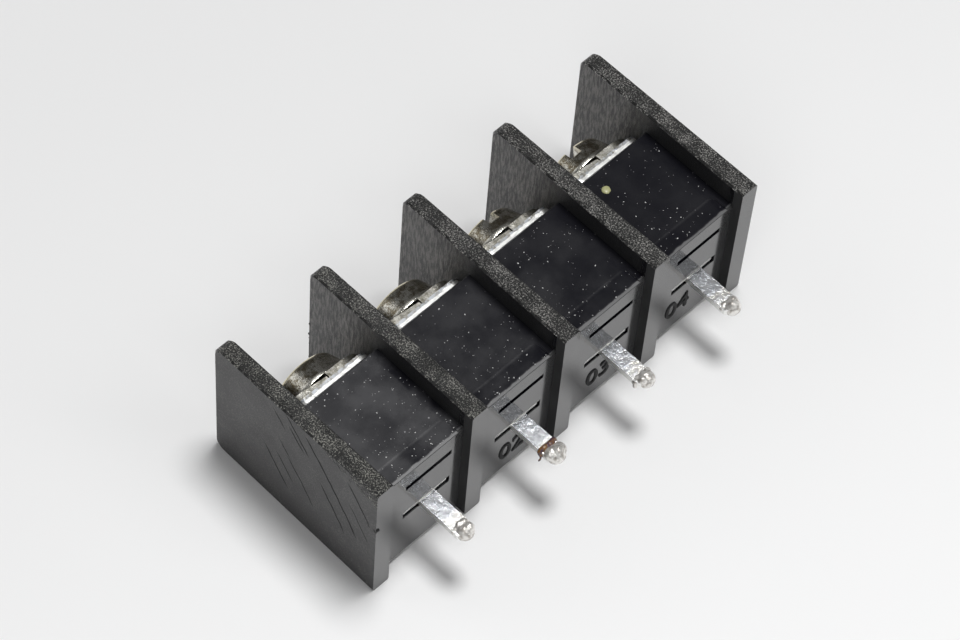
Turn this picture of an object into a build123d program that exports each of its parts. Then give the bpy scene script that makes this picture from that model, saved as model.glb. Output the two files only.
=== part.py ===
"""Four-way barrier terminal block for a circuit board, lying on the lower edges of its fins.

Frame: +X runs along the strip, +Y points at the screw heads, -Y at the board pins, +Z is up.
The origin is the middle of the overall box, at the level the block lies on. Millimetres.
Lengths called "from the board" are counted in +Y from the fins' pin ends, which seat on the board.
"""
from build123d import *
import os

# Strip
WAYS = 4
PITCH = 9.5

# Fins: thin walls between and outside the ways
FIN_LENGTH = 17.3
FIN_HEIGHT = 14.0
FIN_THICK_AT_BOARD = 1.6
FIN_THICK_AT_SCREWS = 1.4
FIN_CORNER = 1.0
FIN_EDGE = 0.15

# Body between the fins
BODY_SETBACK = 0.78
BODY_LENGTH = 9.27
BODY_LIFT = 0.4
BODY_HEIGHT = 11.53
BODY_EDGE = 0.15
SCOOP_LENGTH = 1.7
SCOOP_DEPTH = 0.12
SCOOP_WIDTH = 7.35
SCOOP_END_RADIUS = 0.6

# Terminal, bent from one strip of sheet
SHEET = 0.6
BEND_RADIUS = 0.4
PLATE_WIDTH = 7.0
PLATE_HEIGHT = 9.2
PLATE_CORNER = 0.9
LEG_WIDTH = 4.4
LEG_OFFSET = 0.4
LEG_ROOT_GAP = 0.15
JOG_FROM_BOARD = 2.9
PIN_WIDTH = 1.5
PIN_LENGTH = 3.5
PIN_HEIGHT = 6.05
PIN_TIP_CHAMFER = 0.3
COLLAR_WALL = 0.47
COLLAR_LENGTH = 1.2

# Captive clamp washer
WASHER_WIDTH = 7.8
WASHER_HEIGHT = 7.0
WASHER_THICK = 1.0
WASHER_CORNER = 2.0
WASHER_SPLIT = 0.12
WASHER_SPLIT_OFFSET = 0.38
LIP_DROP = 0.3
LIP_LENGTH = 2.6

# Screw, a slotted and cross-recessed pan head
SCREW_HEIGHT = 7.0
SCREW_DIAMETER = 3.5
SHANK_LENGTH = 8.0
SHANK_TIP = 0.45
HEAD_DIAMETER = 6.9
HEAD_TOP_DIAMETER = 5.9
HEAD_HEIGHT = 2.1
HEAD_RIM = 0.3
SLOT_WIDTH = 1.0
SLOT_DEPTH = 0.9
CROSS_SPAN = 3.6
CROSS_WING = 0.8
CROSS_DEPTH = 1.7
CROSS_TIP = 1.0
SLOT_ANGLES = (28.0, -17.0, -86.0, -98.0)

# Solder left on the pin tips, one width for each way
SOLDER_REACH = 4.0
SOLDER_LENGTH = 1.5
SOLDER_WIDTHS = (1.75, 2.0, 1.8, 1.75)
SOLDER_FLATNESS = 0.75
SOLDER_CORNER = 0.4
SOLDER_NOSE = 0.35

# Fits
THREAD_CLEARANCE = 0.03
WASHER_CLEARANCE = 0.08
SLIT_CLEARANCE = 0.04
SLIT_END_CLEARANCE = 0.18
SLIT_GAP_BELOW = 0.15
CAVITY_CLEARANCE = 0.1
CAVITY_FLOOR_CLEARANCE = 0.05
CAVITY_ROOF_CLEARANCE = 0.25
UPPER_SLIT_HEIGHT = 0.55
UPPER_SLIT_LENGTH = 4.65
UPPER_SLIT_OFFSET = 0.5

# How far a cut runs past the material it goes through
CUT_MARGIN = 1.0

# Places worked out from the sizes above
BOARD_Y = (SOLDER_REACH - FIN_LENGTH) / 2
PIN_FACE_Y = BOARD_Y + BODY_SETBACK
SEAT_Y = PIN_FACE_Y + BODY_LENGTH
PLATE_FRONT_Y = SEAT_Y + SHEET
WASHER_FRONT_Y = PLATE_FRONT_Y + WASHER_THICK
BODY_TOP = BODY_LIFT + BODY_HEIGHT
PLATE_TOP = SCREW_HEIGHT + PLATE_HEIGHT / 2
PLATE_BOTTOM = SCREW_HEIGHT - PLATE_HEIGHT / 2
BORE_RADIUS = SCREW_DIAMETER / 2 + THREAD_CLEARANCE
COLLAR_RADIUS = BORE_RADIUS + COLLAR_WALL
BEND_CENTRE_RADIUS = BEND_RADIUS + SHEET / 2
LEG_LEVEL = PLATE_BOTTOM + SHEET / 2
JOG_Y = BOARD_Y + JOG_FROM_BOARD
CAVITY_BACK_Y = JOG_Y - BEND_CENTRE_RADIUS - CAVITY_CLEARANCE
CAVITY_FLOOR = PLATE_BOTTOM - CAVITY_FLOOR_CLEARANCE
CAVITY_ROOF = SCREW_HEIGHT + COLLAR_RADIUS + SHEET + CAVITY_ROOF_CLEARANCE
CAVITY_LEFT = -COLLAR_RADIUS - CAVITY_CLEARANCE
CAVITY_RIGHT = UPPER_SLIT_OFFSET + UPPER_SLIT_LENGTH / 2
FIN_CENTRES = [PITCH * (i - WAYS / 2) for i in range(WAYS + 1)]
WAY_CENTRES = [PITCH * (i - (WAYS - 1) / 2) for i in range(WAYS)]


def block(x0, x1, y0, y1, z0, z1):
    """A box given by its two corners."""
    return Pos((x0 + x1) / 2, (y0 + y1) / 2, (z0 + z1) / 2) * Box(x1 - x0, y1 - y0, z1 - z0)


def make_fin(x):
    """One barrier wall: rounded at its screw end, and tapered in thickness towards it."""
    side = Plane.YZ * Pos(BOARD_Y + FIN_LENGTH / 2, FIN_HEIGHT / 2) * Rectangle(FIN_LENGTH, FIN_HEIGHT)
    side = fillet(side.vertices().group_by(Axis.Y)[-1], FIN_CORNER)
    wall = extrude(side, FIN_THICK_AT_BOARD / 2, both=True)
    plan = Polygon(
        (-FIN_THICK_AT_BOARD / 2, BOARD_Y),
        (FIN_THICK_AT_BOARD / 2, BOARD_Y),
        (FIN_THICK_AT_SCREWS / 2, BOARD_Y + FIN_LENGTH),
        (-FIN_THICK_AT_SCREWS / 2, BOARD_Y + FIN_LENGTH),
        align=None,
    )
    wall = wall & extrude(plan, FIN_HEIGHT)
    sides = wall.faces().sort_by(Axis.X)
    outline = sides[0].edges() + sides[-1].edges()
    outline = [edge for edge in outline if edge.center().Y > BOARD_Y + FIN_EDGE]
    return Pos(x, 0, 0) * chamfer(outline, FIN_EDGE)


def make_scoop(x):
    """Shallow sloping relief in the body's top beside the pin face, rounded at its far end."""
    left = x - PITCH / 2
    right = x - PITCH / 2 + FIN_THICK_AT_BOARD / 2 + SCOOP_WIDTH
    front_drop = SCOOP_DEPTH * (SCOOP_LENGTH + CUT_MARGIN) / SCOOP_LENGTH
    slope = Polygon(
        (PIN_FACE_Y - CUT_MARGIN, BODY_TOP - front_drop),
        (PIN_FACE_Y + SCOOP_LENGTH, BODY_TOP),
        (PIN_FACE_Y + SCOOP_LENGTH, BODY_TOP + SCOOP_DEPTH),
        (PIN_FACE_Y - CUT_MARGIN, BODY_TOP + SCOOP_DEPTH),
        align=None,
    )
    wedge = Pos(left, 0, 0) * extrude(Plane.YZ * slope, right - left)
    corner = wedge.edges().filter_by(Axis.Z).group_by(Axis.Y)[-1].sort_by(Axis.X)[-1]
    return fillet(corner, SCOOP_END_RADIUS)


def make_cavity(x):
    """Hollow that takes the terminal's leg, collar and screw, with its two slits in the pin face."""
    front = PIN_FACE_Y - CUT_MARGIN
    behind = CAVITY_BACK_Y + CUT_MARGIN
    hollow = block(
        x + CAVITY_LEFT, x + CAVITY_RIGHT, CAVITY_BACK_Y, SEAT_Y + CUT_MARGIN, CAVITY_FLOOR, CAVITY_ROOF
    )
    leg_middle = x + LEG_OFFSET
    half_leg = LEG_WIDTH / 2 + SLIT_END_CLEARANCE
    half_sheet = SHEET / 2 + SLIT_CLEARANCE
    leg_slit = block(
        leg_middle - half_leg, leg_middle + half_leg, front, behind,
        PIN_HEIGHT - half_sheet - SLIT_GAP_BELOW, PIN_HEIGHT + half_sheet,
    )
    upper_middle = x + UPPER_SLIT_OFFSET
    upper_slit = block(
        upper_middle - UPPER_SLIT_LENGTH / 2, upper_middle + UPPER_SLIT_LENGTH / 2, front, behind,
        CAVITY_ROOF - UPPER_SLIT_HEIGHT, CAVITY_ROOF,
    )
    return hollow + leg_slit + upper_slit


def make_housing():
    """The one-piece moulding: five fins joined by the body of the four ways."""
    bar = block(FIN_CENTRES[0], FIN_CENTRES[-1], PIN_FACE_Y, SEAT_Y, BODY_LIFT, BODY_TOP)
    bar = chamfer(bar.edges().filter_by(Axis.X), BODY_EDGE)
    for x in WAY_CENTRES:
        bar -= make_scoop(x)
        bar -= make_cavity(x)
    housing = bar
    for x in FIN_CENTRES:
        housing += make_fin(x)
    return housing


def make_terminal(x):
    """Screw plate with a plunged collar, bent to a leg that jogs up to the pin's level."""
    corners = [
        (PLATE_FRONT_Y - SHEET / 2, PLATE_TOP - PLATE_CORNER),
        (PLATE_FRONT_Y - SHEET / 2, LEG_LEVEL),
        (JOG_Y, LEG_LEVEL),
        (JOG_Y, PIN_HEIGHT),
    ]
    leg_path = FilletPolyline(*corners, (PIN_FACE_Y + LEG_ROOT_GAP, PIN_HEIGHT), radius=BEND_CENTRE_RADIUS)
    leg = extrude(Plane.YZ * trace(leg_path, SHEET), LEG_WIDTH / 2, both=True)
    pin = block(
        -PIN_WIDTH / 2, PIN_WIDTH / 2, BOARD_Y - PIN_LENGTH, PIN_FACE_Y + 2 * LEG_ROOT_GAP,
        PIN_HEIGHT - SHEET / 2, PIN_HEIGHT + SHEET / 2,
    )
    pin = chamfer(pin.edges().filter_by(Axis.Z).group_by(Axis.Y)[0], PIN_TIP_CHAMFER)
    plate_foot = LEG_LEVEL + BEND_CENTRE_RADIUS
    plate_shape = RectangleRounded(PLATE_WIDTH, PLATE_TOP - plate_foot, PLATE_CORNER)
    plate_at = Plane((0, PLATE_FRONT_Y, (PLATE_TOP + plate_foot) / 2), x_dir=(1, 0, 0), z_dir=(0, -1, 0))
    plate = extrude(plate_at * plate_shape, SHEET)
    axis = Plane((0, PLATE_FRONT_Y, SCREW_HEIGHT), x_dir=(1, 0, 0), z_dir=(0, -1, 0))
    collar = extrude(axis * Circle(COLLAR_RADIUS), SHEET + COLLAR_LENGTH)
    bore = extrude(axis * Circle(BORE_RADIUS), SHEET + COLLAR_LENGTH)
    strip = Pos(LEG_OFFSET, 0, 0) * (leg + pin)
    return Pos(x, 0, 0) * (strip + plate + collar - bore)


def make_washer(x):
    """Captive washer as wide as its way, split above the screw, with one lip of the split set down."""
    face = Plane((0, WASHER_FRONT_Y, SCREW_HEIGHT), x_dir=(-1, 0, 0), z_dir=(0, 1, 0))
    shape = RectangleRounded(WASHER_WIDTH, WASHER_HEIGHT, WASHER_CORNER)
    shape -= Circle(SCREW_DIAMETER / 2 + WASHER_CLEARANCE)
    washer = extrude(face * shape, -WASHER_THICK)
    split_right = WASHER_SPLIT_OFFSET
    split_left = split_right - WASHER_SPLIT
    above = SCREW_HEIGHT + WASHER_HEIGHT
    washer -= block(
        split_left, split_right, PLATE_FRONT_Y - CUT_MARGIN, WASHER_FRONT_Y + CUT_MARGIN, SCREW_HEIGHT, above
    )
    ramp = Polygon(
        (split_left - LIP_LENGTH, WASHER_FRONT_Y),
        (split_left + WASHER_SPLIT / 2, WASHER_FRONT_Y - LIP_DROP),
        (split_left + WASHER_SPLIT / 2, WASHER_FRONT_Y + LIP_DROP),
        (split_left - LIP_LENGTH, WASHER_FRONT_Y + LIP_DROP),
        align=None,
    )
    washer -= Pos(0, 0, SCREW_HEIGHT + SCREW_DIAMETER / 4) * extrude(ramp, WASHER_HEIGHT)
    return Pos(x, 0, 0) * washer


def make_screw(x, slot_angle):
    """Pan-head screw, turned on its own axis; the thread's crests are the shank's surface."""
    radius = HEAD_DIAMETER / 2
    top_radius = HEAD_TOP_DIAMETER / 2
    shank_radius = SCREW_DIAMETER / 2
    outline = Polygon(
        (0, -SHANK_LENGTH),
        (shank_radius - SHANK_TIP, -SHANK_LENGTH),
        (shank_radius, -SHANK_LENGTH + SHANK_TIP),
        (shank_radius, 0),
        (radius, 0),
        (radius, HEAD_RIM),
        (top_radius, HEAD_HEIGHT),
        (0, HEAD_HEIGHT),
        align=None,
    )
    blank = revolve(Plane.XZ * outline, Axis.Z)
    slot_floor = HEAD_HEIGHT - SLOT_DEPTH
    slot_end = radius + CUT_MARGIN
    slot = block(
        -slot_end, slot_end, -SLOT_WIDTH / 2, SLOT_WIDTH / 2, slot_floor, HEAD_HEIGHT + CUT_MARGIN
    )
    wing = Polygon(
        (-CROSS_TIP / 2, HEAD_HEIGHT - CROSS_DEPTH),
        (CROSS_TIP / 2, HEAD_HEIGHT - CROSS_DEPTH),
        (CROSS_SPAN / 2, HEAD_HEIGHT),
        (-CROSS_SPAN / 2, HEAD_HEIGHT),
        align=None,
    )
    recess = extrude(Plane.XZ * wing, CROSS_WING / 2, both=True)
    recess += Rot(0, 0, 90) * recess
    screw = blank - slot - recess
    return Pos(x, WASHER_FRONT_Y, SCREW_HEIGHT) * Rot(-90, 0, 0) * Rot(0, 0, slot_angle) * screw


def make_solder(x, width):
    """Lump of solder left round the pin's tip, wider than it is thick."""
    tip = Plane((x + LEG_OFFSET, BOARD_Y - SOLDER_REACH, PIN_HEIGHT), x_dir=(1, 0, 0), z_dir=(0, 1, 0))
    lump = extrude(tip * RectangleRounded(width, width * SOLDER_FLATNESS, SOLDER_CORNER), SOLDER_LENGTH)
    lump = chamfer(lump.edges().group_by(Axis.Y)[0], SOLDER_NOSE)
    return lump - make_terminal(x)


os.makedirs("parts", exist_ok=True)
export_step(make_housing(), "parts/housing.step")
for number, way_x in enumerate(WAY_CENTRES, start=1):
    export_step(make_terminal(way_x), f"parts/terminal_{number}.step")
    export_step(make_washer(way_x), f"parts/clamp_washer_{number}.step")
    export_step(make_screw(way_x, SLOT_ANGLES[number - 1]), f"parts/screw_{number}.step")
    export_step(make_solder(way_x, SOLDER_WIDTHS[number - 1]), f"parts/solder_{number}.step")
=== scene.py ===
import math
import random
import bmesh
import bpy
from mathutils import Matrix, Vector, noise


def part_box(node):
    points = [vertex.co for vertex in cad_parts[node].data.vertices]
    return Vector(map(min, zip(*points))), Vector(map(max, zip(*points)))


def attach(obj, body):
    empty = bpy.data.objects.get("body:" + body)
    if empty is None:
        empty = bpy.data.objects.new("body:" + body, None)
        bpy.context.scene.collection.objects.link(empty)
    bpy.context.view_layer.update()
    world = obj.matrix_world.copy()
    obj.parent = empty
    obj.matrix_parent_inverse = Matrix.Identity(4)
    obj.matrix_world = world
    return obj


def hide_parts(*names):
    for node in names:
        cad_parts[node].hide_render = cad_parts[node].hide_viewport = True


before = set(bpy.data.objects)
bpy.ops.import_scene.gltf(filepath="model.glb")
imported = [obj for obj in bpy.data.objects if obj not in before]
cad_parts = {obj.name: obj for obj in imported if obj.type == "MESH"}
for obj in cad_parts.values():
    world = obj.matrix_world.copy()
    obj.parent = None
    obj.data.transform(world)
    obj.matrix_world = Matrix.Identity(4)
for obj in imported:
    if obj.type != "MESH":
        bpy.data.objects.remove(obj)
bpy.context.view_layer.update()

# Housing: one moulding in black glass-filled plastic, five barrier fins joined by the body of the four
# ways. The fins' top edges are gritty, their sides are drawn in fine upright lines, and the body and the
# pin side are polished. The faces turned to the pin side are painted paler, a painted reflection of the
# table before them. The near end fin carries the arcs of the saw that cut the strip to length.
MM = 0.001
FIN_TOP = 14.0
BODY_TOP = 11.93
PIN_FACE_Y = -5.87
END_FACE_X = -19.55
PLASTIC_IOR = 1.7
PLASTIC_BLACK = (0.009, 0.009, 0.01)
# Painted light: faces turned to the pin side are coloured paler, a painted reflection of the pale table
# before them
PIN_SIDE_PAINTED_LIGHT = (0.055, 0.055, 0.056)
PLASTIC_RUBBED = (0.05, 0.05, 0.052)
PLASTIC_POLISHED = (0.004, 0.004, 0.007)
PLASTIC_DRAWN = (0.2, 0.191, 0.18)
PLASTIC_SAWN = (0.022, 0.021, 0.022)
# Near black of the saw cuts and the chip, also used for the painted shadow lines along the fin tops' broken
# edges
PLASTIC_CUT_AND_SHADE = (0.002, 0.002, 0.002)
GRIT_DARK = (0.008, 0.008, 0.008)
GRIT_PALE = (0.5, 0.49, 0.465)
GRIT_WARM = (0.48, 0.475, 0.43)
# Grey of the dust specks, also used for the painted glow on the tops
DUST_AND_GLOW_GREY = (0.42, 0.42, 0.43)
# Painted shade on the fin sides, darkest towards the pin side: full below the first y, gone past the second
FIN_SIDE_SHADE_FULL_Y = 2.6
FIN_SIDE_SHADE_CLEAR_Y = 6.6
# How far the rubbed edge reaches back from the pin face, fully and at all
RUB_FULL = 0.14
RUB_REACH = 0.36
# How far down its outer side the near end fin is worn
WORN_DEPTH = 0.5
CHIP_PLACE = (-19.8, -6.65, 9.1)
CHIP_CORE = 0.12
CHIP_REACH = 0.34
# Depths of relief
GRIT_DEPTH = 0.3
DRAWN_DEPTH = 0.07
SAWN_DEPTH = 0.006
CUT_DEPTH = 0.22
SAW_CENTRE = (55.6, -31.2)
SAW_LINE = 0.14
SAW_WANDER = 0.06
SAW_FADE = 0.8
SAW_ARCS = (
    # radius, lowest and highest point, strength
    (63.27, 3.4, 7.2, 0.8),
    (64.58, 4.9, 7.6, 0.6),
    (66.01, 4.1, 8.3, 0.7),
    (66.16, 8.0, 9.8, 0.6),
    (67.9, 11.4, 13.4, 0.5),
    (68.84, 10.6, 12.8, 0.9),
    (69.05, 4.5, 8.8, 0.9),
    (69.32, 10.6, 14.0, 0.9),
    (70.6, 5.4, 13.4, 1.0),
    (72.1, 6.2, 9.6, 0.4),
    (73.33, 12.8, 14.0, 0.6),
    (73.51, 8.6, 12.5, 0.8),
)


class Finish:
    """A surface finish: one Principled shader, and the textures that are laid under it."""

    def __init__(self, name, ior=1.5):
        self.material = bpy.data.materials.new(name)
        self.material.use_nodes = True
        self.tree = self.material.node_tree
        self.shader = self.tree.nodes["Principled BSDF"]
        self.shader.inputs["IOR"].default_value = ior
        local = self.tree.nodes.new("ShaderNodeTexCoord").outputs["Object"]
        self.place = self.stretch(local, (1 / MM, 1 / MM, 1 / MM))
        self.relief = None

    def plug(self, socket, value):
        """Joins a socket to another node's output, or sets its value."""
        if isinstance(value, bpy.types.NodeSocket):
            self.tree.links.new(value, socket)
        elif socket.type == "RGBA" and len(value) == 3:
            socket.default_value = (*value, 1)
        else:
            socket.default_value = value

    def vector(self, operation, first, second):
        node = self.tree.nodes.new("ShaderNodeVectorMath")
        node.operation = operation
        self.plug(node.inputs[0], first)
        self.plug(node.inputs[1], second)
        return node

    def stretch(self, vector, factors):
        return self.vector("MULTIPLY", vector, factors).outputs[0]

    def distance(self, vector, point):
        return self.vector("DISTANCE", vector, point).outputs["Value"]

    def part(self, vector, axis):
        node = self.tree.nodes.new("ShaderNodeSeparateXYZ")
        self.plug(node.inputs[0], vector)
        return node.outputs[axis]

    def facing(self, axis):
        """How far the surface faces along an axis, from -1 to 1."""
        return self.part(self.tree.nodes.new("ShaderNodeTexCoord").outputs["Normal"], axis)

    def sum(self, operation, first, second=0.0):
        node = self.tree.nodes.new("ShaderNodeMath")
        node.operation = operation
        self.plug(node.inputs[0], first)
        self.plug(node.inputs[1], second)
        return node.outputs[0]

    def times(self, first, *others):
        for other in others:
            first = self.sum("MULTIPLY", first, other)
        return first

    def either(self, first, *others):
        """The largest of several shares."""
        for other in others:
            first = self.sum("MAXIMUM", first, other)
        return first

    def rest(self, share):
        """What a share leaves over."""
        return self.sum("SUBTRACT", 1.0, share)

    def span(self, value, low, high, start=0.0, end=1.0):
        """Carries a value from low to high over to start to end, with soft ends."""
        node = self.tree.nodes.new("ShaderNodeMapRange")
        node.interpolation_type = "SMOOTHSTEP"
        self.plug(node.inputs["Value"], value)
        node.inputs["From Min"].default_value = low
        node.inputs["From Max"].default_value = high
        node.inputs["To Min"].default_value = start
        node.inputs["To Max"].default_value = end
        return node.outputs[0]

    def grain(self, scale, detail=4.0, stretch=None, roughness=0.55, seed=0.0):
        """Cloudy noise, with its scale in grains to a millimetre."""
        node = self.tree.nodes.new("ShaderNodeTexNoise")
        node.noise_dimensions = "4D"
        place = self.place if stretch is None else self.stretch(self.place, stretch)
        self.plug(node.inputs["Vector"], place)
        self.plug(node.inputs["W"], seed)
        node.inputs["Scale"].default_value = scale
        node.inputs["Detail"].default_value = detail
        node.inputs["Roughness"].default_value = roughness
        return node.outputs["Fac"]

    def stray(self, value, grain, reach):
        """Moves a value up or down by a grain, by no more than a reach."""
        return self.sum("ADD", value, self.span(grain, 0.3, 0.7, -reach, reach))

    def cells(self, scale, seed=0.0):
        """Distance to the nearest of many scattered points, and a chance value for each point."""
        node = self.tree.nodes.new("ShaderNodeTexVoronoi")
        node.voronoi_dimensions = "4D"
        self.plug(node.inputs["Vector"], self.place)
        self.plug(node.inputs["W"], seed)
        node.inputs["Scale"].default_value = scale
        return node.outputs["Distance"], self.part(node.outputs["Color"], 0)

    def blend(self, share, under, over):
        """Lays one colour over another by a share from 0 to 1."""
        node = self.tree.nodes.new("ShaderNodeMix")
        node.data_type = "RGBA"
        self.plug(node.inputs[0], share)
        self.plug(node.inputs[6], under)
        self.plug(node.inputs[7], over)
        return node.outputs[2]

    def emboss(self, height, depth):
        """Adds relief to the surface, with its depth in millimetres."""
        node = self.tree.nodes.new("ShaderNodeBump")
        node.inputs["Strength"].default_value = 1.0
        node.inputs["Distance"].default_value = depth * MM
        self.plug(node.inputs["Height"], height)
        if self.relief is not None:
            self.plug(node.inputs["Normal"], self.relief)
        self.relief = node.outputs["Normal"]

    def seal(self, color, roughness, metallic=0.0):
        """Hands the finished colour, roughness and relief to the shader."""
        self.plug(self.shader.inputs["Base Color"], color)
        self.plug(self.shader.inputs["Roughness"], roughness)
        self.shader.inputs["Metallic"].default_value = metallic
        if self.relief is not None:
            self.plug(self.shader.inputs["Normal"], self.relief)
        return self.material


def saw_marks(finish):
    """The saw's deep marks, thin arcs each over its own height, and the fine sheen between them."""
    height = finish.part(finish.place, 2)
    flat_place = finish.stretch(finish.place, (0, 1, 1))
    radius = finish.distance(flat_place, (0, *SAW_CENTRE))
    radius = finish.stray(radius, finish.grain(0.7, detail=1.0, seed=5.0), SAW_WANDER)
    arcs = 0.0
    for arc_radius, low, high, strength in SAW_ARCS:
        apart = finish.sum("ABSOLUTE", finish.sum("SUBTRACT", radius, arc_radius))
        line = finish.span(apart, 0.0, SAW_LINE, strength, 0.0)
        foot = finish.span(height, low, low + SAW_FADE)
        head = finish.span(height, high - SAW_FADE, high, 1.0, 0.0)
        arcs = finish.either(arcs, finish.times(line, foot, head))
    sheen = finish.tree.nodes.new("ShaderNodeTexNoise")
    sheen.noise_dimensions = "1D"
    finish.plug(sheen.inputs["W"], radius)
    sheen.inputs["Scale"].default_value = 2.4
    sheen.inputs["Detail"].default_value = 3.0
    return arcs, finish.span(sheen.outputs["Fac"], 0.35, 0.65)


def dust_specks(finish, scale, seed, rarity, size):
    """Round specks about scattered points, each of its own size, and fewer as the rarity rises."""
    near, chance = finish.cells(scale, seed)
    return finish.sum("LESS_THAN", near, finish.span(chance, rarity, 1.0, 0.0, size))


def black_plastic():
    finish = Finish("black_plastic", ior=PLASTIC_IOR)
    along = finish.part(finish.place, 0)
    across = finish.part(finish.place, 1)
    height = finish.part(finish.place, 2)
    coarse = finish.grain(0.8, detail=2.0, seed=2.0)
    ragged = finish.grain(2.2, detail=3.0, seed=6.0)
    cloud = finish.grain(0.35, detail=5.0)

    # The moulding's surfaces
    upward = finish.facing(2)
    to_side = finish.sum("ABSOLUTE", finish.facing(0))
    up = finish.span(upward, 0.8, 0.95)
    sideways = finish.span(to_side, 0.75, 0.9)
    # Faces turned to the pin side, which get the painted paler colour
    boardward_painted_light = finish.span(finish.facing(1), -0.3, -0.65)
    over_body = finish.span(height, BODY_TOP + 0.15, BODY_TOP + 0.5)
    fin_top = finish.times(finish.span(upward, 0.5, 0.65), over_body)
    body_top = finish.times(up, finish.rest(over_body))
    scoop = finish.times(up, finish.span(height, BODY_TOP - 0.02, BODY_TOP - 0.003, 1.0, 0.0))
    sawn = finish.times(sideways, finish.span(along, END_FACE_X, END_FACE_X - 0.05))
    inward = finish.sum("SUBTRACT", sideways, sawn)
    drawn = finish.times(inward, finish.span(across, PIN_FACE_Y, PIN_FACE_Y + 1.0))
    recess = finish.times(inward, finish.span(across, PIN_FACE_Y + 0.1, PIN_FACE_Y))

    # Its edges: painted shadow lines along the broken borders of the fin tops, the worn and chipped end
    # fin, the rubbed body edge
    near_end = finish.span(along, END_FACE_X + 1.0, END_FACE_X + 0.9)
    edge_shadow_line = finish.times(
        finish.span(to_side, 0.3, 0.5),
        finish.span(upward, 0.3, 0.5),
        finish.span(ragged, 0.42, 0.55),
        finish.rest(finish.times(near_end, finish.span(across, 0.0, -3.0))),
    )
    edge_reach = finish.stray(height, ragged, 0.5)
    edge_reach = finish.sum("ADD", edge_reach, finish.span(across, 2.0, -6.6, -0.45, 0.8))
    worn = finish.times(finish.span(edge_reach, FIN_TOP - WORN_DEPTH, FIN_TOP), sawn)
    chip = finish.span(finish.distance(finish.place, CHIP_PLACE), CHIP_CORE, CHIP_REACH, 1.0, 0.0)
    rubbed = finish.times(
        finish.span(height, BODY_TOP - 0.2, BODY_TOP - 0.1),
        body_top,
        finish.span(finish.stray(across, coarse, 0.07), PIN_FACE_Y + RUB_REACH, PIN_FACE_Y + RUB_FULL),
    )

    # What is on them: grit, drawn lines, saw marks and dust, and a painted glow over the tops, strongest on
    # the first way and gone by the last
    grit = finish.grain(8.0, detail=3.0, roughness=0.8)
    grit_spots = finish.span(finish.stray(grit, coarse, 0.03), 0.52, 0.61)
    gritty = finish.either(fin_top, worn)
    fine_lines = finish.grain(1.0, detail=6.0, stretch=(6.0, 6.0, 0.9), roughness=0.75)
    arcs, saw_sheen = saw_marks(finish)
    arcs = finish.times(arcs, sawn)
    cuts = finish.either(arcs, chip)
    # Painted glow: a cloudy grey haze over the tops, heaviest on the first way and none on the last, stands
    # in for the lamp's glow; the dust specks share its grey
    painted_glow_by_way = finish.sum(
        "ADD",
        finish.span(along, -8.0, -10.0, 0.0, 0.7),
        finish.span(along, 10.0, -2.0, 0.0, 0.3),
    )
    haze_and_glow = finish.times(finish.span(cloud, 0.35, 0.65, 0.0, 0.075), painted_glow_by_way)
    dust_and_glow = finish.either(
        finish.times(dust_specks(finish, 1.9, 0.0, 0.62, 0.13), 0.5),
        finish.times(dust_specks(finish, 5.5, 3.0, 0.5, 0.26), 0.28),
    )
    dust_and_glow_place = finish.either(body_top, finish.times(fin_top, 0.5))
    dust_and_glow = finish.times(finish.sum("ADD", dust_and_glow, haze_and_glow), dust_and_glow_place)

    drawn_and_shaded_color = finish.blend(finish.span(fine_lines, 0.43, 0.6), PLASTIC_POLISHED, PLASTIC_DRAWN)
    # Painted shade: the fin sides fade to black towards the pin side
    drawn_and_shaded_color = finish.blend(finish.span(across, FIN_SIDE_SHADE_FULL_Y, FIN_SIDE_SHADE_CLEAR_Y), PLASTIC_BLACK, drawn_and_shaded_color)
    sawn_color = finish.blend(finish.times(saw_sheen, 0.25), PLASTIC_SAWN, PLASTIC_BLACK)
    sawn_color = finish.blend(finish.times(grit_spots, 0.12), sawn_color, GRIT_PALE)
    grit_tint = finish.blend(finish.span(along, -5.0, -12.0), GRIT_PALE, GRIT_WARM)
    grit_color = finish.blend(grit_spots, GRIT_DARK, grit_tint)
    color = PLASTIC_BLACK
    for share, coat in (
        # Painted light: the pin side made paler
        (boardward_painted_light, PIN_SIDE_PAINTED_LIGHT),
        (drawn, drawn_and_shaded_color),
        (sawn, sawn_color),
        (body_top, PLASTIC_POLISHED),
        (rubbed, PLASTIC_RUBBED),
        (gritty, grit_color),
        # Painted shadow lines along the fin tops' broken edges, with the saw cuts and the chip
        (finish.either(cuts, edge_shadow_line), PLASTIC_CUT_AND_SHADE),
        (dust_and_glow, DUST_AND_GLOW_GREY),
    ):
        color = finish.blend(share, color, coat)

    roughness = finish.span(cloud, 0.3, 0.7, 0.1, 0.17)
    for share, rougher in (
        (drawn, 0.3),
        (sawn, 0.4),
        (recess, 0.8),
        (rubbed, 0.3),
        (fin_top, 0.5),
        (body_top, 0.045),
        (scoop, -0.06),
        (arcs, 0.3),
        (edge_shadow_line, 0.4),
    ):
        roughness = finish.sum("ADD", roughness, finish.times(share, rougher))

    finish.emboss(finish.times(grit, gritty), GRIT_DEPTH)
    finish.emboss(finish.times(fine_lines, drawn), DRAWN_DEPTH)
    finish.emboss(finish.times(saw_sheen, sawn, 0.25), SAWN_DEPTH)
    finish.emboss(finish.rest(cuts), CUT_DEPTH)
    return finish.seal(color, roughness)


def dress(node, material):
    """Gives a solid of the model its finish."""
    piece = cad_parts[node]
    piece.data.materials.clear()
    piece.data.materials.append(material)


dress("housing", black_plastic())

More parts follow.
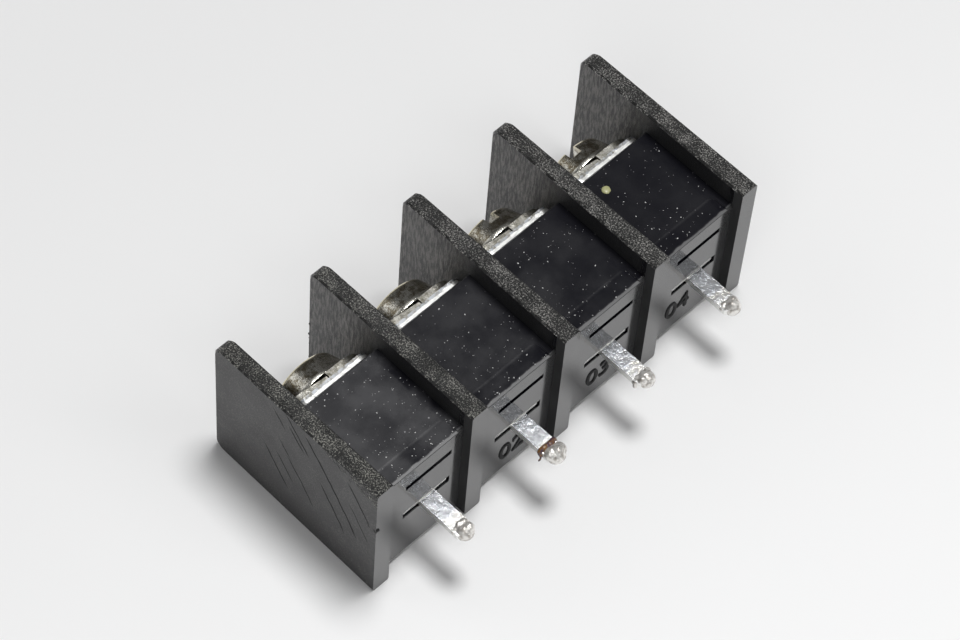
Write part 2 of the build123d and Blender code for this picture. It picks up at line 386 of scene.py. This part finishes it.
# Burrs, dust and flux on the housing: torn plastic along the second fin's edge and at the end fin's chip,
# pale dust that has settled on the four ways, and one round yellow-green drop of flux on the last way.
# All of it sticks to the moulding.
WAYS = 4
PITCH = 9.5
BODY_HALF = 3.9
SEAT_Y = 3.4
BURR_TALL = 1.3
BURRS = (
    # x, y, z and size
    (-10.16, 10.47, 6.85, 0.13),
    (-10.15, 10.49, 5.4, 0.11),
    (-10.16, 10.49, 4.85, 0.07),
    (-10.16, 10.49, 4.1, 0.08),
    (-10.16, 10.49, 2.2, 0.06),
    (-19.64, -6.68, 9.05, 0.13),
)
TORN_DARK = (0.008, 0.008, 0.009)
TORN_PALE = (0.03, 0.03, 0.03)
DUST_ON_WAY = (120, 70, 60, 60)
DUST_SIZES = (0.025, 0.075)
DUST_MARGIN = 0.2
DUST_FLAT = 0.5
DUST_SHADED = (0.3, 0.3, 0.3)
DUST_PALE = (0.75, 0.75, 0.74)
FLAKE_LENGTH = 1.2
FLAKE_WIDTH = 0.8
FLAKE_UNEVEN = (0.7, 1.25)
FLUX_PLACE = (12.17, 1.645, BODY_TOP)
FLUX_RADIUS = 0.36
FLUX_HEIGHT = 0.12
FLUX_SWELL = 0.12
FLUX_GREEN = (0.3, 0.3, 0.13)
FLUX_YELLOW = (0.5, 0.5, 0.28)


def way_centre(way):
    return PITCH * (way - (WAYS + 1) / 2)


def put(piece, name, material, body):
    """Names a new piece, gives it its finish and lets it ride with a body."""
    piece.name = name
    piece.data.name = name
    piece.data.materials.append(material)
    bpy.context.view_layer.update()
    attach(piece, body)
    return piece


def crumb(heap, place, size, chance, tall):
    """Adds one jagged flake to a heap, sunk a little into what it lies on."""
    turn = Matrix.Rotation(chance.uniform(0, math.tau), 4, "Z")
    flake = bmesh.ops.create_icosphere(heap, subdivisions=1, radius=size)["verts"]
    for vert in flake:
        spread = chance.uniform(*FLAKE_UNEVEN)
        x = vert.co.x * spread * FLAKE_LENGTH
        y = vert.co.y * spread * FLAKE_WIDTH
        vert.co = turn @ Vector((x, y, vert.co.z * tall * spread)) + Vector(place)


def heap_piece(heap):
    mesh = bpy.data.meshes.new("heap")
    heap.transform(Matrix.Scale(MM, 4))
    heap.to_mesh(mesh)
    heap.free()
    piece = bpy.data.objects.new("heap", mesh)
    bpy.context.collection.objects.link(piece)
    return piece


def torn_plastic():
    finish = Finish("torn_plastic")
    shade = finish.grain(6.0, detail=3.0)
    finish.emboss(shade, 0.03)
    return finish.seal(finish.blend(shade, TORN_DARK, TORN_PALE), 0.5)


def pale_dust():
    finish = Finish("pale_dust")
    shade = finish.grain(3.0, detail=2.0)
    return finish.seal(finish.blend(shade, DUST_SHADED, DUST_PALE), 0.7)


def green_flux():
    finish = Finish("green_flux")
    shade = finish.grain(3.5, detail=3.0)
    finish.emboss(shade, 0.02)
    return finish.seal(finish.blend(shade, FLUX_GREEN, FLUX_YELLOW), 0.35)


chance = random.Random(7)
heap = bmesh.new()
for x, y, z, size in BURRS:
    crumb(heap, (x, y, z), size, chance, BURR_TALL)
put(heap_piece(heap), "fin_burrs", torn_plastic(), "housing")

heap = bmesh.new()
smallest, largest = DUST_SIZES
nearest_y = PIN_FACE_Y + DUST_MARGIN
dusty_length = SEAT_Y - PIN_FACE_Y - 2 * DUST_MARGIN
for way, count in enumerate(DUST_ON_WAY, start=1):
    for _ in range(count):
        x = way_centre(way) + BODY_HALF * chance.uniform(-1, 1)
        y = nearest_y + dusty_length * chance.random() ** 1.5
        size = smallest + (largest - smallest) * chance.random() ** 3
        crumb(heap, (x, y, BODY_TOP), size, chance, DUST_FLAT)
put(heap_piece(heap), "dust_flecks", pale_dust(), "housing")

heap = bmesh.new()
bmesh.ops.create_uvsphere(heap, u_segments=24, v_segments=12, radius=1)
for vert in heap.verts:
    radius = FLUX_RADIUS * (1 + FLUX_SWELL * noise.noise(vert.co * 2))
    vert.co = Vector((vert.co.x * radius, vert.co.y * radius, vert.co.z * FLUX_HEIGHT))
    vert.co += Vector(FLUX_PLACE)
put(heap_piece(heap), "flux_drop", green_flux(), "housing").data.shade_smooth()

# Terminals: each one strip of tinned brass, cut and bent, pushed into its way from the screw side. The cut
# edges are burnished bright. The pins are duller, with the smudges of the solder bath, and turn paler
# where the solder ran up them.
BOARD_Y = -6.65
WETTED_Y = BOARD_Y - 1.75
BRIGHT_EDGE = 0.34
TIN_EDGE = (0.9, 0.9, 0.88)
TIN_TORN = (0.3, 0.29, 0.26)
TIN_SMUDGED = (0.8, 0.81, 0.83)
TIN_DARK = (0.46, 0.48, 0.51)
TIN_WETTED = (0.92, 0.9, 0.84)
TIN_DEPTH = 0.035


def tinned_brass():
    finish = Finish("tinned_brass")
    across = finish.part(finish.place, 1)
    smudge = finish.grain(2.6, detail=5.0, roughness=0.7)
    edge_noise = finish.grain(1.5, detail=2.0, seed=4.0)
    on_pin = finish.times(
        finish.span(finish.facing(2), 0.7, 0.9),
        finish.span(across, PIN_FACE_Y - 0.05, PIN_FACE_Y - 0.15),
    )
    smudges = finish.span(smudge, 0.36, 0.62)
    wetted = finish.span(finish.stray(across, edge_noise, 0.3), WETTED_Y + 0.05, WETTED_Y - 0.05)
    dull = finish.blend(smudges, TIN_SMUDGED, TIN_DARK)
    pale = finish.blend(smudges, TIN_WETTED, TIN_SMUDGED)
    pin_color = finish.blend(wetted, dull, pale)
    torn_from = SEAT_Y + BRIGHT_EDGE
    torn = finish.span(finish.stray(across, edge_noise, 0.06), torn_from, torn_from + 0.08)
    torn_color = finish.blend(finish.span(smudge, 0.4, 0.55), TIN_TORN, TIN_DARK)
    color = finish.blend(on_pin, finish.blend(torn, TIN_EDGE, torn_color), pin_color)
    roughness = finish.span(smudge, 0.3, 0.7, 0.18, 0.29)
    roughness = finish.sum("ADD", roughness, finish.times(finish.rest(on_pin), 0.1))
    finish.emboss(smudge, TIN_DEPTH)
    return finish.seal(color, roughness, metallic=1.0)


tin = tinned_brass()
for way in range(1, WAYS + 1):
    dress(f"terminal_{way}", tin)

# Clamp washers: nickel-plated steel as wide as the way, each captive under its screw's head and split above
# the screw, with one lip of the split set down. They lift with their screws.
NICKEL_PALE = (0.42, 0.41, 0.375)
NICKEL_STAINED = (0.15, 0.14, 0.11)
NICKEL_DEPTH = 0.05


def nickel_plate():
    finish = Finish("nickel_plate")
    stain = finish.grain(2.0, detail=6.0, roughness=0.75)
    color = finish.blend(finish.span(stain, 0.4, 0.62), NICKEL_PALE, NICKEL_STAINED)
    finish.emboss(stain, NICKEL_DEPTH)
    return finish.seal(color, finish.span(stain, 0.3, 0.7, 0.26, 0.42), metallic=1.0)


nickel = nickel_plate()
for way in range(1, WAYS + 1):
    dress(f"clamp_washer_{way}", nickel)

# Screws: M3.5 nickel-plated steel with a slot and a cross recess, a narrow rim, a side that tapers to the
# drive face, and a rolled thread below a plain neck that holds the washer. Each stands turned to its own
# angle, and its plating is mottled brown, with painted highlights: the rim is kept pale, and the top edge
# and the slot's ends are painted gold.
HEAD_RADIUS = 3.45
HEAD_TOP_RADIUS = 2.95
HEAD_HEIGHT = 2.1
HEAD_RIM = 0.3
UNDER_EDGE = 0.07
TOP_EDGE = 0.38
SLOT_WIDTH = 1.0
SLOT_DEPTH = 0.9
SLOT_ANGLES = (28.0, -17.0, -86.0, -98.0)
CROSS_SPAN = 3.6
CROSS_TIP = 1.0
CROSS_WING = 0.8
CROSS_DEPTH = 1.7
CUTTER_OVER = 1
SHANK_LENGTH = 8.0
SHANK_TIP = 0.45
NECK_LENGTH = 1.5
THREAD_RADIUS = 1.74
THREAD_DEPTH = 0.35
THREAD_PITCH = 0.6
THREAD_ROOT = 0.08
THREAD_FLANK = 0.8
SIDES = 96
STEPS_TO_A_TURN = 8
STEPS_ON_EDGE = 4
STEPS_ON_SIDE = 8
SMOOTH_BELOW = 35
HEAD_PALE = (0.82, 0.8, 0.72)
HEAD_BROWNED = (0.24, 0.2, 0.13)
# Gold of the painted highlights on the head's top edge and slot ends
HEAD_HIGHLIGHT_GOLD = (0.85, 0.78, 0.58)
STAIN_DEPTH = 0.03
FINE_DEPTH = 0.015


def skin(rings, top, bottom):
    """Closes a stack of rings of points into one mesh, with a point at each end."""
    shell = bmesh.new()
    rows = [[shell.verts.new(point) for point in ring] for ring in rings]
    ends = (shell.verts.new(bottom), shell.verts.new(top))
    for low, high in zip(rows, rows[1:]):
        for i in range(len(low)):
            j = (i + 1) % len(low)
            shell.faces.new((low[i], low[j], high[j], high[i]))
    for i in range(len(rows[0])):
        j = (i + 1) % len(rows[0])
        shell.faces.new((ends[0], rows[0][j], rows[0][i]))
        shell.faces.new((ends[1], rows[-1][i], rows[-1][j]))
    mesh = bpy.data.meshes.new("skin")
    shell.to_mesh(mesh)
    shell.free()
    return mesh


def thread_radius(angle, height):
    """Radius of the thread's surface: a right-hand V groove that runs out at the neck."""
    groove = (height / THREAD_PITCH - angle / math.tau) % 1
    ridge = min(1, max(0, (1 - abs(2 * groove - 1) - THREAD_ROOT) / THREAD_FLANK))
    runout = min(1, max(0, (-NECK_LENGTH - height) / THREAD_PITCH))
    tip = THREAD_RADIUS - max(0, SHANK_TIP - SHANK_LENGTH - height)
    return min(tip, THREAD_RADIUS - THREAD_DEPTH * (1 - ridge * runout))


def head_profile():
    """Radius and height round the head: under edge, rim, tapered side and rounded top edge."""
    neck = THREAD_RADIUS - THREAD_DEPTH
    profile = [(neck, -0.1), (neck + 0.1, 0)]
    quarter = [math.pi / 2 * i / STEPS_ON_EDGE for i in range(STEPS_ON_EDGE + 1)]
    for turn in quarter:
        radius = HEAD_RADIUS - UNDER_EDGE * (1 - math.sin(turn))
        profile.append((radius, UNDER_EDGE * (1 - math.cos(turn))))
    profile += [(HEAD_RADIUS, HEAD_RIM - 0.04), (HEAD_RADIUS - 0.01, HEAD_RIM)]
    taper = (HEAD_RADIUS - HEAD_TOP_RADIUS) / (HEAD_HEIGHT - HEAD_RIM)
    side_top = HEAD_HEIGHT - TOP_EDGE
    for i in range(1, STEPS_ON_SIDE + 1):
        height = HEAD_RIM + (side_top - HEAD_RIM) * i / STEPS_ON_SIDE
        profile.append((HEAD_RADIUS - taper * (height - HEAD_RIM), height))
    side_radius = profile[-1][0]
    for turn in quarter[1:]:
        radius = side_radius - TOP_EDGE * (1 - math.cos(turn))
        profile.append((radius, side_top + TOP_EDGE * math.sin(turn)))
    return profile


def screw_blank():
    """Head and threaded shank as turned and rolled, before the slot is cut."""
    turns = [math.tau * i / SIDES for i in range(SIDES)]
    rows = round((SHANK_LENGTH - NECK_LENGTH) / THREAD_PITCH * STEPS_TO_A_TURN)
    heights = [-SHANK_LENGTH + THREAD_PITCH * i / STEPS_TO_A_TURN for i in range(rows + 1)]
    rings = [[(thread_radius(a, h) * math.cos(a), thread_radius(a, h) * math.sin(a), h) for a in turns]
             for h in heights]
    rings += [[(r * math.cos(a), r * math.sin(a), h) for a in turns] for r, h in head_profile()]
    return skin(rings, (0, 0, HEAD_HEIGHT), (0, 0, -SHANK_LENGTH))


def tapered_bar(length_top, length_foot, width, foot, top):
    """A cutter as wide as a slot, longer at its top than at its foot."""
    bar = bmesh.new()
    corners = [(x * length / 2, y * width / 2, z) for z, length in ((foot, length_foot), (top, length_top))
               for x, y in ((-1, -1), (1, -1), (1, 1), (-1, 1))]
    points = [bar.verts.new(corner) for corner in corners]
    for face in ((3, 2, 1, 0), (4, 5, 6, 7), (0, 1, 5, 4), (1, 2, 6, 5), (2, 3, 7, 6), (3, 0, 4, 7)):
        bar.faces.new([points[i] for i in face])
    mesh = bpy.data.meshes.new("cutter")
    bar.to_mesh(mesh)
    bar.free()
    return mesh


def carve(blank, cutters):
    """Cuts each cutter out of a blank and returns the finished mesh."""
    body = bpy.data.objects.new("blank", blank)
    bpy.context.collection.objects.link(body)
    tools = []
    for mesh, turn in cutters:
        tool = bpy.data.objects.new("tool", mesh)
        tool.rotation_euler = (0, 0, turn)
        bpy.context.collection.objects.link(tool)
        cut = body.modifiers.new("cut", "BOOLEAN")
        cut.operation = "DIFFERENCE"
        cut.solver = "EXACT"
        cut.object = tool
        tools.append(tool)
    bpy.context.view_layer.update()
    done = bpy.data.meshes.new_from_object(body.evaluated_get(bpy.context.evaluated_depsgraph_get()))
    for spent in (body, *tools):
        bpy.data.objects.remove(spent)
    return done


def browned_nickel():
    finish = Finish("browned_nickel")
    own = finish.tree.nodes.new("ShaderNodeObjectInfo").outputs["Random"]
    seed = finish.times(own, 20.0)
    stain = finish.grain(1.1, detail=6.0, roughness=0.72, seed=seed)
    fine = finish.grain(6.0, detail=4.0, roughness=0.75, seed=seed)
    height = finish.part(finish.place, 2)
    from_slot = finish.sum("ABSOLUTE", finish.part(finish.place, 1))
    from_axis = finish.distance(finish.stretch(finish.place, (1, 1, 0)), (0, 0, 0))
    # Painted highlights: the rim is kept pale and free of browning, and the top edge and the slot's ends
    # are painted gold
    rim_highlight = finish.span(height, HEAD_RIM + 0.12, HEAD_RIM + 0.02)
    top_edge_highlight = finish.times(
        finish.span(height, HEAD_HEIGHT - TOP_EDGE, HEAD_HEIGHT - 0.5 * TOP_EDGE),
        finish.span(from_axis, HEAD_TOP_RADIUS - 0.5, HEAD_TOP_RADIUS - 0.25),
    )
    slot_floor = HEAD_HEIGHT - SLOT_DEPTH
    slot_end_highlight = finish.times(
        finish.span(from_slot, 0.54, 0.5),
        finish.span(height, slot_floor - 0.1, slot_floor),
        finish.span(from_axis, HEAD_TOP_RADIUS - 0.7, HEAD_TOP_RADIUS),
    )
    gold_highlight = finish.either(top_edge_highlight, finish.times(slot_end_highlight, 0.7))
    share = finish.sum(
        "ADD",
        finish.span(stain, 0.4, 0.56, 0.0, 0.9),
        finish.span(fine, 0.45, 0.62, -0.2, 0.5),
    )
    share = finish.times(finish.sum("MINIMUM", share, 1.0), finish.rest(finish.either(rim_highlight, gold_highlight)))
    color = finish.blend(share, finish.blend(gold_highlight, HEAD_PALE, HEAD_HIGHLIGHT_GOLD), HEAD_BROWNED)
    finish.emboss(stain, STAIN_DEPTH)
    finish.emboss(fine, FINE_DEPTH)
    return finish.seal(color, finish.span(fine, 0.3, 0.7, 0.15, 0.25), metallic=1.0)


def make_screw():
    cutter_top = HEAD_HEIGHT + CUTTER_OVER
    slot_length = 3 * HEAD_RADIUS
    slot = tapered_bar(slot_length, slot_length, SLOT_WIDTH, HEAD_HEIGHT - SLOT_DEPTH, cutter_top)
    flare = CROSS_TIP + (CROSS_SPAN - CROSS_TIP) * (CROSS_DEPTH + CUTTER_OVER) / CROSS_DEPTH
    wing = tapered_bar(flare, CROSS_TIP, CROSS_WING, HEAD_HEIGHT - CROSS_DEPTH, cutter_top)
    mesh = carve(screw_blank(), [(slot, 0), (wing, 0), (wing, math.pi / 2)])
    mesh.transform(Matrix.Scale(MM, 4))
    mesh.shade_smooth()
    mesh.set_sharp_from_angle(angle=math.radians(SMOOTH_BELOW))
    return mesh


brown_nickel = browned_nickel()
for way, slot_angle in enumerate(SLOT_ANGLES, start=1):
    low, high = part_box(f"screw_{way}")
    seat = Vector(((low.x + high.x) / 2, high.y - HEAD_HEIGHT * MM, (low.z + high.z) / 2))
    screw = bpy.data.objects.new("screw", make_screw())
    screw.matrix_world = (
        Matrix.Translation(seat) @ Matrix.Rotation(-math.pi / 2, 4, "X")
        @ Matrix.Rotation(math.radians(slot_angle), 4, "Z")
    )
    bpy.context.collection.objects.link(screw)
    put(screw, f"pan_head_screw_{way}", brown_nickel, f"screw_{way}")
    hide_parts(f"screw_{way}")

# Solder: what was left on each pin's tip when the block was taken off its board, set in a bright rounded
# drop with lobes where it pulled away. The second pin's neck has a ring of brown burnt flux with a whisker.
SOLDER_BRIGHT = (0.96, 0.94, 0.9)
SOLDER_GREY = (0.5, 0.47, 0.43)
SOLDER_DEPTH = 0.11
FLUX_BROWN = (0.2, 0.1, 0.03)
FLUX_PURPLE = (0.05, 0.03, 0.07)
FLUX_DEPTH = 0.06
FLUX_WAY = 2
PIN_X = 0.4
PIN_LEVEL = 6.05
TIP_Y = -10.65
VOXEL = 0.045
# Each drop's lobes, counted from the far end of the pin: sideways, back from the tip, up, radius.
DROP_LOBES = (
    ((0.05, 0.76, -0.02, 0.74), (0.35, 1.2, 0.35, 0.36), (-0.05, 1.3, 0.42, 0.28), (-0.45, 1.25, 0.0, 0.36),
     (0.3, 0.6, 0.45, 0.42)),
    ((0.05, 0.8, 0.0, 0.8), (0.4, 0.85, 0.15, 0.62), (-0.25, 0.95, 0.2, 0.6), (0.1, 0.7, 0.5, 0.45)),
    ((0.15, 0.74, 0.0, 0.72), (-0.35, 1.1, -0.1, 0.5), (0.62, 1.15, 0.1, 0.34), (-0.75, 1.0, -0.3, 0.2),
     (-0.3, 0.7, 0.4, 0.36)),
    ((0.08, 0.72, 0.0, 0.7), (0.35, 0.95, 0.25, 0.46), (-0.35, 1.15, 0.0, 0.44), (0.0, 0.65, 0.42, 0.4)),
)
# The flux ring: a row of balls round the pin, thickest above it
RING_BALLS = 18
RING_HALF_WIDTH = 0.82
RING_HALF_HEIGHT = 0.42
RING_BACK = 1.62
RING_WAVE = 0.08
RING_THIN = 0.17
RING_THICKER = 0.11
WHISKER_BALLS = 5
WHISKER_RADIUS = 0.09


def bright_solder():
    finish = Finish("bright_solder")
    ripple = finish.grain(3.2, detail=4.0)
    color = finish.blend(finish.span(ripple, 0.42, 0.66), SOLDER_BRIGHT, SOLDER_GREY)
    finish.emboss(ripple, SOLDER_DEPTH)
    return finish.seal(color, finish.span(ripple, 0.3, 0.7, 0.12, 0.26), metallic=0.6)


def burnt_flux():
    finish = Finish("burnt_flux")
    crust = finish.grain(4.0, detail=4.0)
    color = finish.blend(finish.span(crust, 0.4, 0.62), FLUX_BROWN, FLUX_PURPLE)
    finish.emboss(crust, FLUX_DEPTH)
    return finish.seal(color, 0.16)


def fused(lobes, way):
    """Runs a group of balls together into one smooth drop on a way's pin, flat at the pin's tip."""
    balls = bmesh.new()
    pin_x = way_centre(way) + PIN_X
    for x, y, z, radius in lobes:
        ball = bmesh.ops.create_icosphere(balls, subdivisions=3, radius=radius)["verts"]
        bmesh.ops.translate(balls, verts=ball, vec=(pin_x + x, TIP_Y + y, PIN_LEVEL + z))
    rough = heap_piece(balls)
    melt = rough.modifiers.new("melt", "REMESH")
    melt.mode = "VOXEL"
    melt.voxel_size = VOXEL * MM
    soften = rough.modifiers.new("soften", "SMOOTH")
    soften.factor = 0.6
    soften.iterations = 6
    bpy.context.view_layer.update()
    mesh = bpy.data.meshes.new_from_object(rough.evaluated_get(bpy.context.evaluated_depsgraph_get()))
    bpy.data.objects.remove(rough)
    for vert in mesh.vertices:
        vert.co.y = max(vert.co.y, TIP_Y * MM)
    mesh.shade_smooth()
    piece = bpy.data.objects.new("drop", mesh)
    bpy.context.collection.objects.link(piece)
    return piece


solder = bright_solder()
for way, lobes in enumerate(DROP_LOBES, start=1):
    drop = put(fused(lobes, way), f"solder_drop_{way}", solder, "housing")
    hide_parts(f"solder_{way}")

ring = []
for i in range(RING_BALLS):
    turn = math.tau * i / RING_BALLS
    back = RING_BACK + RING_WAVE * math.sin(3 * turn)
    radius = RING_THIN + RING_THICKER * max(0, math.sin(turn))
    ring.append((RING_HALF_WIDTH * math.cos(turn), back, RING_HALF_HEIGHT * math.sin(turn), radius))
whisker = [
    (-0.8 - 0.05 * i, 1.55 - 0.1 * i + 0.02 * i * i, -0.1 - 0.12 * i, WHISKER_RADIUS)
    for i in range(WHISKER_BALLS)
]
put(fused(ring + whisker, FLUX_WAY), "burnt_flux", burnt_flux(), "housing")

# Way numbers: plain figures raised in the moulding, low on the pin faces of ways 2 to 4. They are of the
# housing's own plastic, and duller than the face round them.
FIRST_NUMBERED = 2
FIGURE_HEIGHT = 1.9
FIGURE_RISE = 0.12
FIGURE_EDGE = 0.02
FIGURE_PLACES = ((-4.75, 1.95), (4.55, 2.15), (13.25, 2.25))
DIGIT_SHARE = 0.7
FIGURE_DARK = (0.004, 0.004, 0.005)
FIGURE_PALE = (0.012, 0.012, 0.013)


def figure_plastic():
    finish = Finish("figure_plastic")
    shade = finish.grain(4.0, detail=3.0)
    finish.emboss(shade, 0.01)
    return finish.seal(finish.blend(shade, FIGURE_DARK, FIGURE_PALE), 0.75)


figure_black = figure_plastic()
for way, (x, foot) in enumerate(FIGURE_PLACES, start=FIRST_NUMBERED):
    letters = bpy.data.curves.new("figure", "FONT")
    letters.body = f"0{way}"
    letters.align_x = "CENTER"
    letters.size = FIGURE_HEIGHT * MM / DIGIT_SHARE
    letters.extrude = FIGURE_RISE * MM / 2
    letters.bevel_depth = FIGURE_EDGE * MM
    figure = bpy.data.objects.new("figure", letters)
    figure.location = (x * MM, PIN_FACE_Y * MM, foot * MM)
    figure.rotation_euler = (math.pi / 2, 0, 0)
    bpy.context.collection.objects.link(figure)
    put(figure, f"way_number_{way}", figure_black, "housing")

# Floor, light and camera: a pale table with a painted falloff of light, lighter on the near side and darker
# on the far side, one soft lamp a little to the right of straight above, four pale cards that throw its
# light back, a faint even light from all round, and the photograph's own view.
FLOOR_HALF = 2
# Painted falloff of light on the table: the dim far colour, the lit near colour, the slope of the change in
# x and y per millimetre, and its reach
FLOOR_PAINTED_DIM = (0.8, 0.8, 0.8)
FLOOR_PAINTED_LIT = (0.92, 0.92, 0.92)
FLOOR_FALLOFF_SLOPE = (-0.0568, -0.2288)
FLOOR_FALLOFF_END = 11.0
LIGHTS = (
    # name, place, width, power
    ("overhead", (0.13, 0.0, 0.8), 0.25, 4.4),
    ("left_card", (-0.36, -0.2, 0.42), 0.3, 0.5),
    ("front_card", (0.15, -0.5, 0.5), 0.4, 0.85),
    ("right_card", (0.145, 0.305, 0.72), 0.29, 0.15),
    ("back_card", (-0.35, 0.55, 0.42), 0.5, 0.5),
)
ROOM_TINT = (0.97, 0.98, 1.0, 1)
ROOM_LIGHT = 0.085
CAMERA_PLACE = (-0.116522, -0.098522, 0.249602)
CAMERA_TURN = (32.1944, -2.7766, -44.6838)
CAMERA_LENS = 142.872
CAMERA_FILM = 36
CAMERA_NEAREST = 0.01


def table_with_painted_falloff():
    finish = Finish("table_with_painted_falloff")
    cloud = finish.grain(0.02, detail=2.0)
    # Painted falloff of light: the table runs from dim on the far side to lit on the near side
    painted_falloff = [finish.times(finish.part(finish.place, axis), FLOOR_FALLOFF_SLOPE[axis]) for axis in range(2)]
    painted_falloff = finish.stray(finish.sum("ADD", *painted_falloff), cloud, 0.3)
    share = finish.span(painted_falloff, -FLOOR_FALLOFF_END, FLOOR_FALLOFF_END)
    return finish.seal(finish.blend(share, FLOOR_PAINTED_DIM, FLOOR_PAINTED_LIT), 0.6)


floor_mesh = bpy.data.meshes.new("floor")
corners = [(x * FLOOR_HALF, y * FLOOR_HALF, 0) for x, y in ((-1, -1), (1, -1), (1, 1), (-1, 1))]
floor_mesh.from_pydata(corners, [], [(0, 1, 2, 3)])
floor_mesh.materials.append(table_with_painted_falloff())
floor = bpy.data.objects.new("floor", floor_mesh)
bpy.context.collection.objects.link(floor)

for name, place, width, power in LIGHTS:
    lamp = bpy.data.lights.new(name, "AREA")
    lamp.shape = "DISK"
    lamp.size = width
    lamp.energy = power
    stand = bpy.data.objects.new(name, lamp)
    stand.location = place
    stand.rotation_euler = (-Vector(place)).to_track_quat("-Z", "Y").to_euler()
    stand.visible_camera = False
    bpy.context.collection.objects.link(stand)

world = bpy.data.worlds.new("room")
world.use_nodes = True
world.node_tree.nodes["Background"].inputs["Color"].default_value = ROOM_TINT
world.node_tree.nodes["Background"].inputs["Strength"].default_value = ROOM_LIGHT
bpy.context.scene.world = world
bpy.context.scene.view_settings.view_transform = "Standard"

camera_data = bpy.data.cameras.new("camera")
camera_data.lens = CAMERA_LENS
camera_data.sensor_width = CAMERA_FILM
camera_data.clip_start = CAMERA_NEAREST
camera = bpy.data.objects.new("camera", camera_data)
camera.location = CAMERA_PLACE
camera.rotation_euler = [math.radians(angle) for angle in CAMERA_TURN]
bpy.context.collection.objects.link(camera)
bpy.context.scene.camera = camera
